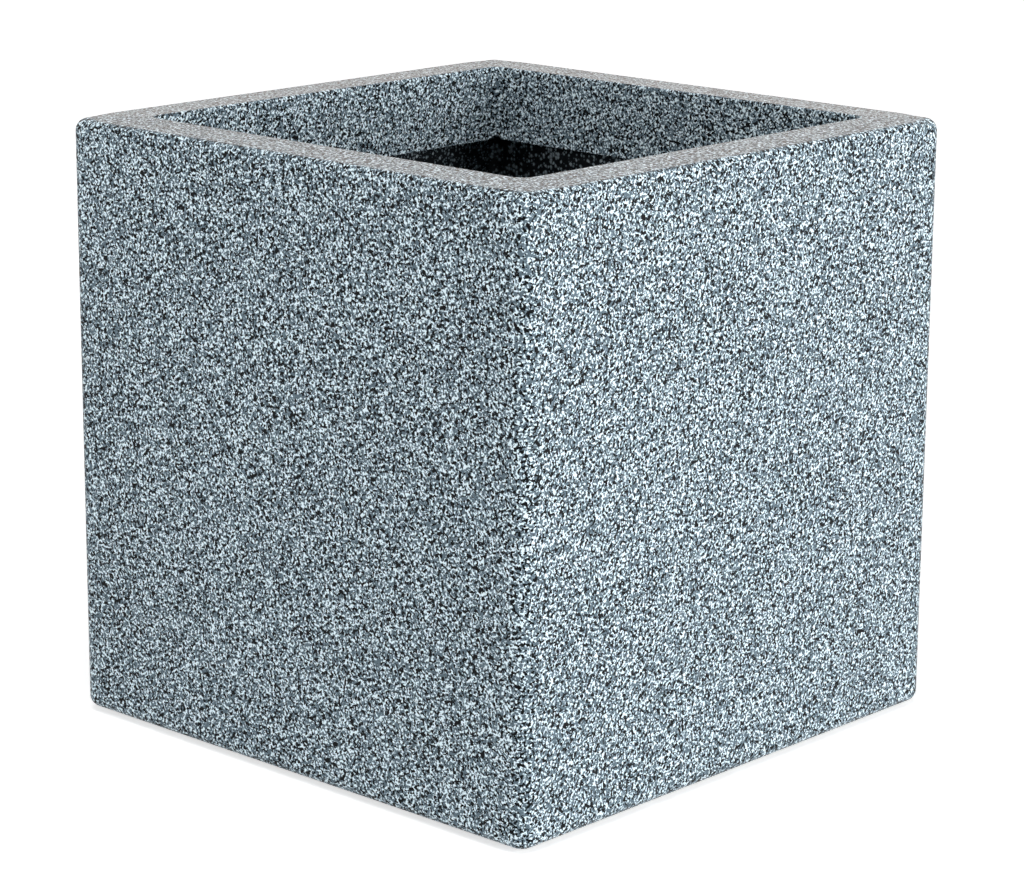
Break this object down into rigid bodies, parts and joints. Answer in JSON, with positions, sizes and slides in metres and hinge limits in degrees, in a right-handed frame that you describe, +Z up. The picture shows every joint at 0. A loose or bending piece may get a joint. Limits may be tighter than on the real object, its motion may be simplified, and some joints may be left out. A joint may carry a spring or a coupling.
{
  "type": "planter box",
  "caption": "Cube planter box with a broad flat rim, a return lip, rubber feet, bushed ground-fixing holes and pull-out drain bungs.",
  "frame": {"origin": "on the ground, under the middle of the planter", "axes": "+Z up, +X to the right and +Y to the back; the planter looks the same from all four sides"},
  "size_m": [0.5, 0.5, 0.5],
  "materials": {
    "granite_polyethylene": "black, grey and white stone-effect speckle, fine orange peel, low sheen",
    "black_rubber": "matt",
    "bung_rubber": "smooth",
    "brass": "turned",
    "stainless_steel": "brushed"
  },
  "bodies": {
    "planter": {"shell": "granite_polyethylene", "foot_pads": "black_rubber", "foot_inserts": "brass", "foot_washers": "stainless_steel", "foot_screws": "stainless_steel", "fixing_bushes": "stainless_steel"},
    "drain_bung_front": {"drain_bung_front": "bung_rubber"},
    "drain_bung_right": {"drain_bung_right": "bung_rubber"},
    "drain_bung_back": {"drain_bung_back": "bung_rubber"},
    "drain_bung_left": {"drain_bung_left": "bung_rubber"}
  },
  "joints": [
    {"name": "drain_bung_front_pull", "type": "slide", "parent": "planter", "child": "drain_bung_front", "axis": [0, 0, 1], "range_m": [0, 0.04]},
    {"name": "drain_bung_right_pull", "type": "slide", "parent": "planter", "child": "drain_bung_right", "axis": [0, 0, 1], "range_m": [0, 0.04]},
    {"name": "drain_bung_back_pull", "type": "slide", "parent": "planter", "child": "drain_bung_back", "axis": [0, 0, 1], "range_m": [0, 0.04]},
    {"name": "drain_bung_left_pull", "type": "slide", "parent": "planter", "child": "drain_bung_left", "axis": [0, 0, 1], "range_m": [0, 0.04]}
  ]
}
